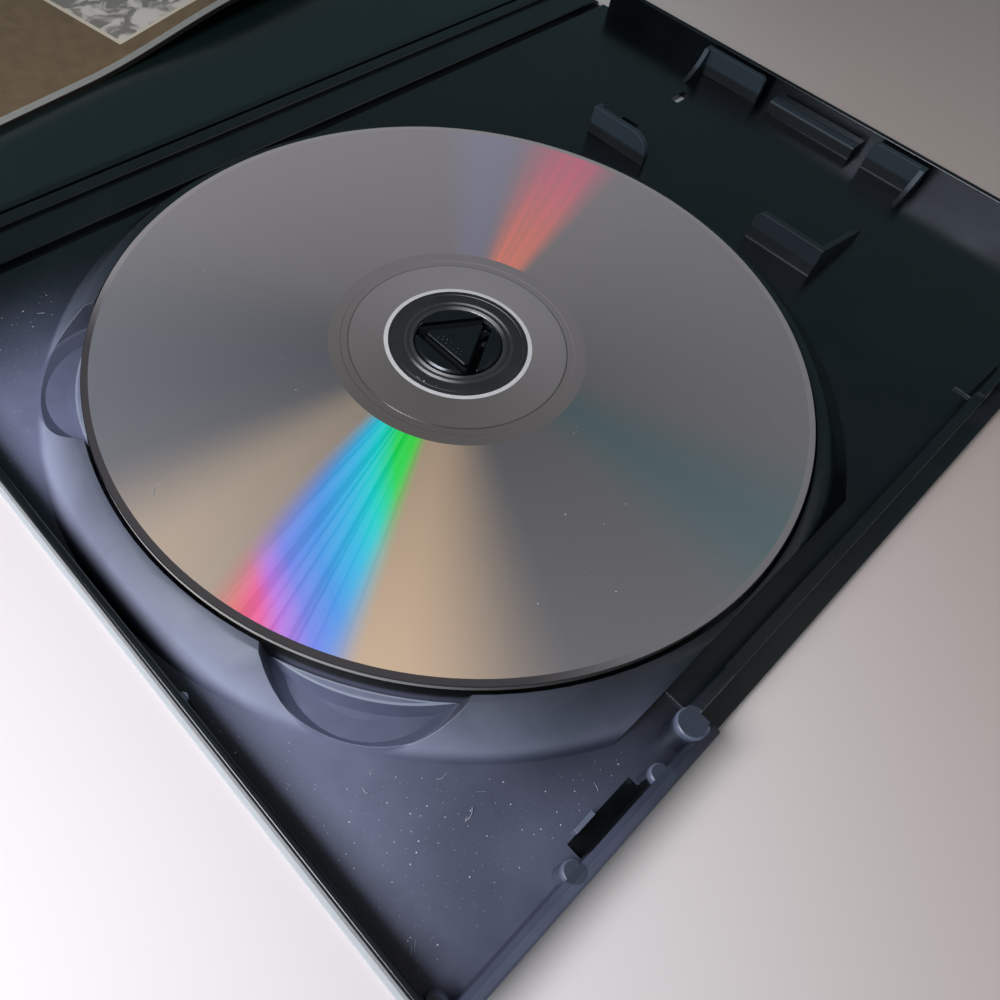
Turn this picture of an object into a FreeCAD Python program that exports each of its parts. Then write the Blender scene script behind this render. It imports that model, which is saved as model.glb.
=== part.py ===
import FreeCAD, Part
import math
import os

V = FreeCAD.Vector
os.makedirs("parts", exist_ok=True)

# Frame: spine centre on the floor is the origin, X runs from cover to tray, Y to the card end, Z up.

# Case as a whole
case_height = 190.0
hinge_pitch = 14.5
panel_reach = 136.0
wall_top = 7.4

# Moulded sections shared by tray, cover and spine
floor_thickness = 1.2
side_wall = 1.2
front_wall = 2.0
wall_edge_bevel = 0.3
front_wall_bevel = 0.8
corner_radius = 3.0
side_wall_setback = 2.75

# Clear outer film, whose welded ends stand out past the moulding
film_thickness = 0.2
film_lip = 0.75
film_front_inset = 0.6

# Living hinges
hinge_web = 0.5
hinge_web_length = 1.3
hinge_clearance = 0.1
spine_strip_width = 3.05
spine_strip_height = 0.8
spine_strip_end_gap = 1.6

# Thumb recess in the opening edge
recess_half_length = 45.5
recess_depth = 3.25
recess_wall = 1.8
recess_step_half_length = 37.7
recess_step = 0.5
recess_post_radius = 2.2
channel_rib_width = 0.6
channel_rib_height = 0.5
channel_rib_inset = 2.3

# Closing latches
latch_slot_start = 56.4
latch_slot_end = 68.6
latch_slot_width = 2.2
latch_slot_skin = 0.25
latch_post_near = 55.2
latch_post_far = 71.8
latch_post_radius = 1.45
latch_post_top = 6.6
latch_tab_length = 3.5
latch_tab_start = 63.8
latch_tab_thickness = 0.7
latch_tab_height = 2.0
latch_side_clearance = 1.0
latch_tongue_thickness = 1.2
latch_tongue_back_gap = 0.45
latch_tongue_top = 10.4
latch_barb = 0.35

# Small stops on the walls
corner_post_radius = 1.55
corner_post_from_front = 3.15
corner_post_from_side = 1.8
corner_post_top = 6.6
wall_nub_radius = 0.7
wall_nub_offset = 20.7
wall_nub_top = 6.0

# Disc
disc_radius = 60.0
disc_hole_radius = 7.5
disc_thickness = 1.2
disc_underside = 6.3
disc_offset_x = 66.5
disc_offset_y = -24.8
disc_edge_bevel = 0.15
stack_ring_inner = 18.3
stack_ring_outer = 19.7
stack_ring_depth = 0.15

# Raised ring around the disc
ring_clearance = 0.6
ring_land = 1.4
ring_foot_radius = 68.2
ring_top = 6.6
ring_skin = 1.2
ring_flat_from_disc = 61.3
ring_spine_flat_from_hinge = 3.35

# Finger scoops in the raised ring
scoop_radius = 15.0
scoop_from_disc = 55.0
scoop_angle = -56.0
scoop_dip = 0.3
scoop_dish_radius = 9.0
scoop_shoulder_radius = 12.0
scoop_shoulder_rise = 0.35
scoop_wall_radius = 13.6
scoop_wall_rise = 1.5
scoop_ledge_height = 1.8
scoop_ledge_radius = 31.0
scoop_ledge_reach = 1.3
scoop_ledge_taper = 1.0

# Hub that holds the disc
hub_seat_outer = 13.5
hub_well_radius = 7.9
hub_skin = 1.2
petal_clearance = 0.2
petal_chord = 4.6
petal_top_above_disc = 0.4
petal_edge_bevel = 0.4
button_corner_radius = 6.1
button_corner_round = 0.5
button_top_above_disc = 0.3
button_depth = 4.0
button_edge_bevel = 0.25
button_arm_width = 1.3
button_arm_thickness = 1.2
button_arm_clearance = 0.3

# Memory card holder
card_bay_left = 36.35
card_bay_width = 56.3
card_bay_length = 40.6
card_bay_end_gap = 3.75
bracket_thickness = 1.4
fin_thickness = 1.2
low_bracket_length = 15.5
low_bracket_left_round = 4.5
low_bracket_right_round = 2.0
top_bracket_left_length = 16.8
top_bracket_right_length = 12.7
top_bracket_round = 1.4
fin_land = 2.2
fin_length = 15.0
fin_sag_forward = 5.4
fin_sag_height = 1.8
straight_fin_length = 17.5
straight_fin_drop = 4.0
window_width = 2.0
window_length = 5.1
window_from_fin = 1.9
window_from_bracket = 10.1
low_window_width = 4.4
low_window_length = 2.8
low_window_from_bracket = 7.5
low_window_skin = 0.3
stop_ledge_left = 62.5
stop_ledge_right = 85.2
stop_ledge_reach = 3.8
stop_ledge_height = 2.7
stop_ledge_groove = 0.8
stop_ledge_groove_depth = 0.5
stop_ledge_round = 0.5

# Booklet and the clips that hold it
booklet_width = 90.0
booklet_height = 174.0
booklet_thickness = 2.4
booklet_turn = 8.0
booklet_from_hinge = 75.65
booklet_curl_start = 0.62
booklet_lift = 3.5
booklet_lift_start = 0.28
booklet_lift_end = 0.56
booklet_sections = 13
clip_radius = 7.0
clip_thickness = 1.0
clip_gap = 0.5
clip_spacing = 56.0

# Values that follow from the sizes above
hinge_x = hinge_pitch / 2
hinge_z = film_thickness + hinge_web / 2
panel_edge = hinge_x + hinge_web / 2 + hinge_clearance
front_x = hinge_x + panel_reach
floor_bottom = film_thickness
floor_top = film_thickness + floor_thickness
film_half_height = case_height / 2
half_height = film_half_height - film_lip
side_wall_start = hinge_x + side_wall_setback
front_inner = front_x - front_wall
side_inner = half_height - side_wall
recess_outer_face = front_x - recess_depth
recess_inner_face = recess_outer_face - recess_wall
disc_x = hinge_x + disc_offset_x
disc_y = disc_offset_y
disc_top = disc_underside + disc_thickness
ring_inner = disc_radius + ring_clearance
ring_flat_x = disc_x + ring_flat_from_disc
card_bay_top = side_inner - card_bay_end_gap
card_bay_bottom = card_bay_top - card_bay_length
overcut = 1.0


def block(x0, x1, y0, y1, z0, z1):
    return Part.makeBox(x1 - x0, y1 - y0, z1 - z0, V(x0, y0, z0))


def post(radius, x, y, z0, z1):
    return Part.makeCylinder(radius, z1 - z0, V(x, y, z0))


def plate_along_x(points, x0, x1):
    # Points are (y, z) pairs of a closed outline
    wire = Part.makePolygon([V(x0, y, z) for y, z in points + points[:1]])
    return Part.Face(wire).extrude(V(x1 - x0, 0, 0))


def plate_along_y(points, y0, y1):
    # Points are (x, z) pairs of a closed outline
    wire = Part.makePolygon([V(x, y0, z) for x, z in points + points[:1]])
    return Part.Face(wire).extrude(V(0, y1 - y0, 0))


def turned(points, x, y):
    # Points are (radius, z) pairs turned about an upright axis at x, y
    wire = Part.makePolygon([V(x + r, y, z) for r, z in points + points[:1]])
    return Part.Face(wire).revolve(V(x, y, 0), V(0, 0, 1), 360)


def edges_at_height(shape, z):
    picked = []
    for edge in shape.Edges:
        if abs(edge.BoundBox.ZMin - z) < 1e-6 and abs(edge.BoundBox.ZMax - z) < 1e-6:
            picked.append(edge)
    return picked


def upright_edges_at(shape, x):
    picked = []
    for edge in shape.Edges:
        box = edge.BoundBox
        if box.XLength < 1e-6 and box.YLength < 1e-6 and abs(box.XMin - x) < 1e-6:
            picked.append(edge)
    return picked


def mirrored_y(shape):
    return shape.mirror(V(0, 0, 0), V(0, 1, 0))


def mirrored_x(shape, x):
    return shape.mirror(V(x, 0, 0), V(1, 0, 0))


def panel_shell():
    # Floor with a wall on three sides, open towards the hinge
    outer = block(panel_edge, front_x, -half_height, half_height, floor_bottom, wall_top)
    outer = outer.makeFillet(corner_radius, upright_edges_at(outer, front_x))
    inner = block(panel_edge - overcut, front_inner, -side_inner, side_inner, floor_top, wall_top + overcut)
    inner = inner.makeFillet(corner_radius - side_wall, upright_edges_at(inner, front_inner))
    shell = outer.cut(inner)
    front_gap = block(panel_edge - overcut, side_wall_start, -half_height - overcut, half_height + overcut,
                      floor_top, wall_top + overcut)
    shell = shell.cut(front_gap)
    shell = shell.makeChamfer(wall_edge_bevel, edges_at_height(shell, wall_top))
    lead_in = front_wall_lead_in()
    return shell.cut(lead_in).cut(mirrored_y(lead_in))


def front_wall_lead_in():
    # Sloped inner edge along the opening wall, which guides the other half in
    low_z = wall_top - front_wall_bevel - overcut
    high_z = wall_top + overcut
    points = [(front_inner - overcut, low_z), (front_inner + front_wall_bevel + overcut, high_z),
              (front_inner - overcut, high_z)]
    return plate_along_y(points, recess_half_length, side_inner - corner_radius + side_wall)


def recess_cut():
    return block(recess_outer_face, front_x + overcut, -recess_half_length, recess_half_length,
                 floor_top, wall_top + overcut)


def recess_wall_parts():
    # The set-back wall of the thumb recess, its two end walls and the posts that stiffen the corners
    end = recess_half_length + recess_wall
    wall = block(recess_inner_face, recess_outer_face, -end, end, floor_bottom, wall_top)
    wall = wall.makeChamfer(wall_edge_bevel, edges_at_height(wall, wall_top))
    step = block(recess_inner_face - overcut, recess_outer_face + overcut, -recess_step_half_length,
                 recess_step_half_length, wall_top - recess_step, wall_top + overcut)
    parts = [wall.cut(step)]
    side = block(recess_inner_face, front_inner + wall_edge_bevel, recess_half_length, end, floor_bottom, wall_top)
    corner = post(recess_post_radius, recess_outer_face, end, floor_bottom, wall_top)
    corner = corner.makeChamfer(wall_edge_bevel, edges_at_height(corner, wall_top))
    corner = corner.common(block(recess_inner_face - overcut, front_x, recess_half_length, half_height,
                                 0, wall_top))
    for shape in (side, corner):
        parts.append(shape)
        parts.append(mirrored_y(shape))
    return parts


def panel():
    shell = panel_shell()
    shell = shell.cut(recess_cut())
    return shell.multiFuse(recess_wall_parts())


def ring_parts():
    # The ridge around the disc, a moulded skin that is hollow on the outside of the case
    land_end = ring_inner + ring_land
    profile = [(ring_inner, floor_bottom), (ring_inner, ring_top), (land_end, ring_top),
               (ring_foot_radius, floor_top), (ring_foot_radius, floor_bottom)]
    ridge = turned(profile, disc_x, disc_y)
    keep_left = hinge_x + ring_spine_flat_from_hinge
    keep = block(keep_left, ring_flat_x, -half_height, half_height, 0, wall_top)
    return ridge.common(keep)


def ring_hollow():
    slope_run = ring_foot_radius - ring_inner - ring_land
    slope_rise = ring_top - floor_top
    slope_length = math.hypot(slope_run, slope_rise)
    shift_r = ring_skin * slope_rise / slope_length
    shift_z = ring_skin * slope_run / slope_length
    inner_wall = ring_inner + ring_skin
    top_r = ring_inner + ring_land - shift_r
    top_z = ring_top - shift_z
    low_r = ring_foot_radius - shift_r
    low_z = floor_top - shift_z
    wall_z = top_z - (inner_wall - top_r) * slope_rise / slope_run
    profile = [(inner_wall, floor_bottom - overcut), (inner_wall, wall_z), (low_r, low_z),
               (low_r, floor_bottom - overcut)]
    hollow = turned(profile, disc_x, disc_y)
    keep_left = hinge_x + ring_spine_flat_from_hinge + ring_skin
    keep = block(keep_left, ring_flat_x - ring_skin, -half_height, half_height, -overcut, wall_top)
    hollow = hollow.common(keep)
    for x in scoop_centres():
        hollow = hollow.cut(post(scoop_radius + ring_skin, x, scoop_y(), -overcut, wall_top))
    return hollow


def scoop_centres():
    reach = scoop_from_disc * math.cos(math.radians(scoop_angle))
    return [disc_x + reach, disc_x - reach]


def scoop_y():
    return disc_y + scoop_from_disc * math.sin(math.radians(scoop_angle))


def scoop_cuts():
    # A dish for the fingertip, with a crescent ledge left standing beside the disc
    bottom = floor_top - scoop_dip
    shoulder = bottom + scoop_shoulder_rise
    profile = [(0, bottom), (scoop_dish_radius, bottom), (scoop_shoulder_radius, shoulder),
               (scoop_wall_radius, shoulder + scoop_wall_rise), (scoop_radius, wall_top), (0, wall_top)]
    ledge_top = floor_top + scoop_ledge_height
    ledge = [(0, floor_bottom), (0, ledge_top), (scoop_ledge_radius, ledge_top),
             (scoop_ledge_radius + scoop_ledge_taper, bottom), (scoop_ledge_radius + scoop_ledge_taper, floor_bottom)]
    share = (ring_inner + scoop_ledge_reach - scoop_ledge_radius) / scoop_from_disc
    cuts = []
    for x in scoop_centres():
        dish = turned(profile, x, scoop_y())
        ledge_x = disc_x + (x - disc_x) * share
        ledge_y = disc_y + (scoop_y() - disc_y) * share
        cuts.append(dish.cut(turned(ledge, ledge_x, ledge_y)))
    return cuts


def hub_parts():
    # Seat for the disc and three springy petals that stand in its hole
    seat = [(hub_well_radius, floor_bottom), (hub_well_radius, disc_underside),
            (hub_seat_outer, disc_underside), (hub_seat_outer, floor_bottom)]
    parts = [turned(seat, disc_x, disc_y)]
    petal_radius = disc_hole_radius - petal_clearance
    petal_top = disc_top + petal_top_above_disc
    for turn in (30, 150, 270):
        stem = post(petal_radius, disc_x, disc_y, floor_bottom, petal_top)
        stem = stem.makeChamfer(petal_edge_bevel, edges_at_height(stem, petal_top))
        side = block(disc_x + petal_chord, disc_x + petal_radius + overcut, disc_y - petal_radius,
                     disc_y + petal_radius, floor_bottom, petal_top + overcut)
        side.rotate(V(disc_x, disc_y, 0), V(0, 0, 1), turn)
        parts.append(stem.common(side))
    return parts


def hub_hollow():
    profile = [(hub_well_radius + hub_skin, floor_bottom - overcut),
               (hub_well_radius + hub_skin, disc_underside - hub_skin),
               (hub_seat_outer - hub_skin, disc_underside - hub_skin),
               (hub_seat_outer - hub_skin, floor_bottom - overcut)]
    return turned(profile, disc_x, disc_y)


def latch_parts():
    # Guide posts and the small tab beside the slot that takes the tongue of the cover
    parts = []
    for y in (latch_post_near, latch_post_far):
        guide = post(latch_post_radius, front_inner, y, floor_bottom, latch_post_top)
        guide = guide.makeChamfer(wall_edge_bevel, edges_at_height(guide, latch_post_top))
        guide = guide.common(block(0, front_inner + wall_edge_bevel, 0, half_height, 0, wall_top))
        parts.append(guide)
    slot_inner = front_inner - latch_slot_width
    tab = block(slot_inner - latch_tab_thickness, slot_inner, latch_tab_start,
                latch_tab_start + latch_tab_length, floor_bottom, floor_top + latch_tab_height)
    parts.append(tab)
    corner = post(corner_post_radius, front_x - corner_post_from_front, half_height - corner_post_from_side,
                  floor_bottom, corner_post_top)
    corner = corner.makeChamfer(wall_edge_bevel, edges_at_height(corner, corner_post_top))
    parts.append(corner)
    return parts + [mirrored_y(shape) for shape in parts]


def latch_slots():
    # Pockets in the floor, sloping down to the opening wall, where the tongues end
    slot_inner = front_inner - latch_slot_width
    points = [(slot_inner, floor_top + overcut), (slot_inner, floor_top), (front_inner, floor_bottom + latch_slot_skin),
              (front_inner, floor_top + overcut)]
    slot = plate_along_y(points, latch_slot_start, latch_slot_end)
    return [slot, mirrored_y(slot)]


def channel_ribs():
    # Low ribs across the channel between the ring's flat and the set-back wall
    y = recess_half_length - channel_rib_inset
    rib = block(ring_flat_x, recess_inner_face + overcut, y, y + channel_rib_width, floor_bottom,
                floor_top + channel_rib_height)
    return [rib, mirrored_y(rib)]


def wall_nub():
    x = disc_x + wall_nub_offset
    nub = post(wall_nub_radius, x, -side_inner, floor_bottom, wall_nub_top)
    return nub.common(block(x - overcut, x + overcut, -half_height, 0, 0, wall_top))


def swept_fin(x0, x1, y_bracket, direction):
    # Corner fin of the card holder, falling in a hollow curve to the floor
    y_land = y_bracket + direction * fin_land
    y_end = y_bracket + direction * fin_length
    y_mid = y_bracket + direction * fin_sag_forward
    z_mid = floor_top + fin_sag_height
    curve = Part.Arc(V(x0, y_land, wall_top), V(x0, y_mid, z_mid), V(x0, y_end, floor_top)).toShape()
    rest = Part.makePolygon([V(x0, y_end, floor_top), V(x0, y_end, floor_bottom), V(x0, y_bracket, floor_bottom),
                             V(x0, y_bracket, wall_top), V(x0, y_land, wall_top)])
    wire = Part.Wire([curve] + rest.Edges)
    return Part.Face(wire).extrude(V(x1 - x0, 0, 0))


def rounded_plate(x0, x1, y0, y1, round_left, radius):
    # Upright plate that stands on the floor, with one top corner rounded
    plate = block(x0, x1, y0, y1, floor_bottom, wall_top)
    corner_x = x0 if round_left else x1
    corner = [e for e in edges_at_height(plate, wall_top) if e.BoundBox.XLength < 1e-6
              and abs(e.BoundBox.XMin - corner_x) < 1e-6]
    return plate.makeFillet(radius, corner)


def card_holder_parts():
    # Four corner brackets for a memory card and the stop ledge on the end wall
    left = hinge_x + card_bay_left
    right = left + card_bay_width
    low_y = card_bay_bottom - bracket_thickness
    high_y = card_bay_top + bracket_thickness
    left_out = left - fin_thickness
    right_out = right + fin_thickness
    low_end = left_out + low_bracket_length
    low_start = right_out - low_bracket_length
    parts = [rounded_plate(left_out, low_end, low_y, card_bay_bottom, False, low_bracket_left_round),
             rounded_plate(low_start, right_out, low_y, card_bay_bottom, True, low_bracket_right_round)]
    for x0, x1 in ((left_out, left_out + top_bracket_left_length), (right_out - top_bracket_right_length, right_out)):
        plate = block(x0, x1, card_bay_top, high_y, floor_bottom, wall_top)
        ends = [e for e in plate.Edges if e.BoundBox.XLength < 1e-6 and e.BoundBox.ZLength < 1e-6
                and e.BoundBox.ZMin > floor_top]
        parts.append(plate.makeFillet(top_bracket_round, ends))
    parts.append(swept_fin(left_out, left, low_y, 1))
    parts.append(swept_fin(left_out, left, high_y, -1))
    parts.append(swept_fin(right, right_out, high_y, -1))
    fin_end = card_bay_bottom + straight_fin_length
    parts.append(plate_along_x([(low_y, floor_bottom), (low_y, wall_top), (fin_end, wall_top - straight_fin_drop),
                                (fin_end, floor_bottom)], right, right_out))
    ledge_top = floor_top + stop_ledge_height
    ledge_front = side_inner - stop_ledge_reach
    ledge = block(stop_ledge_left, stop_ledge_right, ledge_front, side_inner + wall_edge_bevel, floor_bottom,
                  ledge_top)
    front_edge = [e for e in edges_at_height(ledge, ledge_top) if abs(e.BoundBox.YMax - ledge_front) < 1e-6]
    ledge = ledge.makeFillet(stop_ledge_round, front_edge)
    groove_y = ledge_front + stop_ledge_reach / 2
    groove = block(stop_ledge_left + overcut, stop_ledge_right - overcut, groove_y, groove_y + stop_ledge_groove,
                   ledge_top - stop_ledge_groove_depth, ledge_top + overcut)
    parts.append(ledge.cut(groove))
    return parts


def card_holder_windows():
    # A slit through the floor beside the top fin, and a pocket beside the low one
    left = hinge_x + card_bay_left
    y1 = card_bay_top - window_from_bracket
    y0 = y1 - window_length
    low_y = card_bay_bottom + low_window_from_bracket
    slit_x = left + window_from_fin
    high_z = floor_top + overcut
    slit = block(slit_x, slit_x + window_width, y0, y1, floor_bottom - overcut, high_z)
    pocket = block(left, left + low_window_width, low_y, low_y + low_window_length, floor_bottom + low_window_skin,
                   high_z)
    return [slit, pocket]


def tray():
    body = panel()
    body = body.multiFuse([ring_parts(), wall_nub()] + hub_parts() + latch_parts() + channel_ribs()
                          + card_holder_parts())
    cuts = [ring_hollow(), hub_hollow()] + scoop_cuts() + latch_slots() + card_holder_windows()
    for cut in cuts:
        body = body.cut(cut)
    return body.removeSplitter()


def latch_tongue():
    # A tongue with a small barb that drops behind the opening wall of the tray
    outer = front_inner - latch_tongue_back_gap
    inner = outer - latch_tongue_thickness
    barb_z = latch_tongue_top - 2 * latch_barb
    points = [(inner, floor_bottom), (inner, latch_tongue_top), (outer - latch_barb, latch_tongue_top),
              (outer, barb_z), (outer - latch_barb, barb_z - latch_barb), (outer - latch_barb, floor_bottom)]
    y0 = latch_slot_start + latch_side_clearance
    y1 = latch_slot_end - latch_side_clearance
    return plate_along_y(points, y0, y1)


def booklet_clip():
    # Half-moon shelf on the set-back wall, over the booklet's outer edge
    under = floor_top + booklet_thickness + clip_gap
    y = clip_spacing / 2
    shelf = post(clip_radius, recess_inner_face, y, under, under + clip_thickness)
    return shelf.common(block(0, recess_inner_face + wall_edge_bevel, 0, half_height, 0, wall_top))


def cover():
    tongue = latch_tongue()
    clip = booklet_clip()
    body = panel().multiFuse([tongue, mirrored_y(tongue), clip, mirrored_y(clip)])
    return mirrored_x(body.removeSplitter(), 0)


def spine():
    # Back strip with two stiffening strips, and a thin web with a round bead along each hinge line
    body_half = hinge_x - hinge_web_length
    body = block(-body_half, body_half, -half_height, half_height, floor_bottom, floor_top)
    web_top = floor_bottom + hinge_web
    web = block(-hinge_x, hinge_x, -half_height, half_height, floor_bottom, web_top)
    bead = Part.makeCylinder(hinge_web / 2, 2 * half_height, V(hinge_x, -half_height, hinge_z), V(0, 1, 0))
    strip_half = half_height - spine_strip_end_gap
    strip = block(body_half - spine_strip_width, body_half, -strip_half, strip_half, floor_bottom,
                  floor_top + spine_strip_height)
    strip = strip.makeChamfer(wall_edge_bevel, edges_at_height(strip, floor_top + spine_strip_height))
    shape = body.multiFuse([web, bead, mirrored_x(bead, 0), strip, mirrored_x(strip, 0)])
    return shape.removeSplitter()


def release_button():
    # Three-sided push button whose corner arms reach under the disc
    top = disc_top + button_top_above_disc
    bottom = top - button_depth
    corners = []
    for turn in (90, 210, 330):
        angle = math.radians(turn)
        corners.append(V(disc_x + button_corner_radius * math.cos(angle),
                         disc_y + button_corner_radius * math.sin(angle), bottom))
    face = Part.Face(Part.makePolygon(corners + corners[:1]))
    body = face.extrude(V(0, 0, button_depth))
    upright = [e for e in body.Edges if e.BoundBox.ZLength > button_depth / 2]
    body = body.makeFillet(button_corner_round, upright)
    body = body.makeChamfer(button_edge_bevel, edges_at_height(body, top))
    reach = hub_well_radius - button_arm_clearance
    arms = []
    for turn in (90, 210, 330):
        arm = block(disc_x, disc_x + reach, disc_y - button_arm_width / 2, disc_y + button_arm_width / 2,
                    bottom, bottom + button_arm_thickness)
        arm.rotate(V(disc_x, disc_y, 0), V(0, 0, 1), turn)
        arms.append(arm)
    return body.multiFuse(arms).removeSplitter()


def disc():
    body = post(disc_radius, disc_x, disc_y, disc_underside, disc_top)
    body = body.makeChamfer(disc_edge_bevel, body.Edges[0:1] + body.Edges[2:3])
    hole = post(disc_hole_radius, disc_x, disc_y, disc_underside - overcut, disc_top + overcut)
    groove = turned([(stack_ring_inner, disc_top - stack_ring_depth), (stack_ring_inner, disc_top + overcut),
                     (stack_ring_outer, disc_top + overcut), (stack_ring_outer, disc_top - stack_ring_depth)],
                    disc_x, disc_y)
    return body.cut(hole).cut(groove)


def booklet_section(share):
    # Outline across the booklet, flat at its outer edge and lifting towards the spine of the case
    y = (share - 0.5) * booklet_height
    rise = (share - booklet_lift_start) / (booklet_lift_end - booklet_lift_start)
    rise = min(max(rise, 0), 1)
    lift = booklet_lift * rise * rise * (3 - 2 * rise)
    half = booklet_width / 2
    fold = booklet_width * booklet_curl_start - half
    points = [V(-half, y, 0), V(fold, y, 0), V(half, y, lift), V(half, y, lift + booklet_thickness),
              V(fold, y, booklet_thickness), V(-half, y, booklet_thickness)]
    return Part.makePolygon(points + points[:1])


def booklet():
    # One block of pages lying loose on the cover, turned a little and with its free edge lifting
    shares = [i / (booklet_sections - 1) for i in range(booklet_sections)]
    body = Part.makeLoft([booklet_section(share) for share in shares], True, True)
    body.rotate(V(0, 0, 0), V(0, 0, 1), booklet_turn)
    body.translate(V(-(hinge_x + booklet_from_hinge), 0, floor_top))
    return body


def panel_film():
    film_front = front_x - film_front_inset
    film = block(panel_edge, film_front, -film_half_height, film_half_height, 0, film_thickness)
    return film.makeFillet(corner_radius, upright_edges_at(film, film_front))


def spine_film():
    return block(-hinge_x, hinge_x, -film_half_height, film_half_height, 0, film_thickness)


film = panel_film()
nodes = {
    "tray": tray(),
    "spine": spine(),
    "cover": cover(),
    "release_button": release_button(),
    "disc": disc(),
    "booklet": booklet(),
    "sleeve_back": film,
    "sleeve_spine": spine_film(),
    "sleeve_front": mirrored_x(film, 0),
}
for name, shape in nodes.items():
    shape.exportStep("parts/" + name + ".step")
    box = shape.BoundBox
    print(name, len(shape.Solids), shape.isValid(), round(shape.Volume, 1), box)
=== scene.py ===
import math
import bmesh
import bpy
from mathutils import Matrix, Vector


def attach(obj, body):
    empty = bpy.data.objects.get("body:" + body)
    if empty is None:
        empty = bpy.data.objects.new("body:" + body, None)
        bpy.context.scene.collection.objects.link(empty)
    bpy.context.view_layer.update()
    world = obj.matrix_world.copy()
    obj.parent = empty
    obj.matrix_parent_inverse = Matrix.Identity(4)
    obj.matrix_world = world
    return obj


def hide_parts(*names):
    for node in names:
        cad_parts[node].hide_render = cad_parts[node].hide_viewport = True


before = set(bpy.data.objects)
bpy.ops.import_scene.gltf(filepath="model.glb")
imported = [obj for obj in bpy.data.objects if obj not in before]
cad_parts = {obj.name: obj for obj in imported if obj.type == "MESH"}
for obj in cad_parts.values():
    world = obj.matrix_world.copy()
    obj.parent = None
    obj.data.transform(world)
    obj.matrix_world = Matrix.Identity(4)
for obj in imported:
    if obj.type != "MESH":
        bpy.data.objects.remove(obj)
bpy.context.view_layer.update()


# Case moulding: tray, spine and cover come out of the mould as one piece of black plastic and bend
# along two thin webs. The mould gives it a fine satin grain, and its edges are slightly rounded.
scene = bpy.context.scene
mm = 0.001


def packed_box(node_name):
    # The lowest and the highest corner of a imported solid
    corners = [Vector(corner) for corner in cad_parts[node_name].bound_box]
    return corners[0], corners[6]


# The button is even from side to side and the disc from end to end, and both share one middle
disc_low, disc_high = packed_box("disc")
button_low, button_high = packed_box("release_button")
disc_centre = Vector(((button_low.x + button_high.x) / 2, (disc_low.y + disc_high.y) / 2, 0.0))


def shade(red, green, blue):
    # Screen colour from 0 to 255 as the linear colour that a shader takes
    linear = []
    for value in (red / 255, green / 255, blue / 255):
        linear.append(value / 12.92 if value <= 0.04045 else ((value + 0.055) / 1.055) ** 2.4)
    return (*linear, 1.0)


def add(tree, kind, inputs=None, **settings):
    # One node with its settings, its values and its links
    made = tree.nodes.new(kind)
    for name, value in settings.items():
        setattr(made, name, value)
    for name, value in (inputs or {}).items():
        if isinstance(value, bpy.types.NodeSocket):
            tree.links.new(value, made.inputs[name])
        else:
            made.inputs[name].default_value = value
    return made


def calc(tree, operation, first, second=0.0, third=0.0):
    # One step of arithmetic
    made = add(tree, "ShaderNodeMath", {0: first, 1: second, 2: third}, operation=operation)
    return made.outputs[0]


def spread(tree, value, low, high, to_low, to_high):
    # A value eased from one range into another
    ends = {"From Min": low, "From Max": high, "To Min": to_low, "To Max": to_high}
    made = add(tree, "ShaderNodeMapRange", {"Value": value, **ends}, interpolation_type="SMOOTHSTEP")
    return made.outputs["Result"]


def tint(tree, amount, first, second):
    # The first colour with some amount of the second laid over it
    return add(tree, "ShaderNodeMix", {"Factor": amount, 6: first, 7: second}, data_type="RGBA").outputs[2]


def speckled(tree, place, scale, detail, roughness=0.5):
    # An uneven pattern with values around a half
    made = add(tree, "ShaderNodeTexNoise",
               {"Vector": place, "Scale": scale, "Detail": detail, "Roughness": roughness})
    return made.outputs["Fac"]


def finish(name, **sockets):
    # A new material with its surface shader; sockets that stay the same all over are set here
    material = bpy.data.materials.new(name)
    material.use_nodes = True
    shader = material.node_tree.nodes["Principled BSDF"]
    for socket, value in sockets.items():
        shader.inputs[socket.replace("_", " ")].default_value = value
    return material, material.node_tree, shader


def overlap(tree, *masks):
    # What is left where all the masks meet
    shared = masks[0]
    for mask in masks[1:]:
        shared = calc(tree, "MULTIPLY", shared, mask)
    return shared


def away(tree, x, y, middle):
    # Distance across the floor from an upright axis
    across_x = calc(tree, "SUBTRACT", x, middle[0])
    across_y = calc(tree, "SUBTRACT", y, middle[1])
    squared = calc(tree, "MULTIPLY_ADD", across_x, across_x, calc(tree, "MULTIPLY", across_y, across_y))
    return calc(tree, "SQRT", squared)


def in_circle(tree, x, y, middle, radius):
    # 1 inside a circle on the floor, otherwise 0
    return calc(tree, "LESS_THAN", away(tree, x, y, middle), radius)


def in_rectangle(tree, x, y, middle, half):
    # 1 inside a rectangle on the floor, otherwise 0
    return overlap(tree, calc(tree, "COMPARE", x, middle[0], half[0]),
                   calc(tree, "COMPARE", y, middle[1], half[1]))


black_plastic, tree, shader = finish("black_satin_plastic", IOR=1.7,
                                     Specular_Tint=(0.8, 0.88, 1.0, 1.0))
place = add(tree, "ShaderNodeTexCoord").outputs["Object"]
parts = add(tree, "ShaderNodeSeparateXYZ", {"Vector": place})
x, y, z = parts.outputs["X"], parts.outputs["Y"], parts.outputs["Z"]
bare_tone = (0.0015, 0.0024, 0.0028, 1.0)
handled_tone = (0.003, 0.0046, 0.0052, 1.0)
handling = speckled(tree, place, 70.0, 5.0, 0.6)
base = tint(tree, spread(tree, handling, 0.35, 0.68, 0.0, 1.0), bare_tone, handled_tone)

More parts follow.
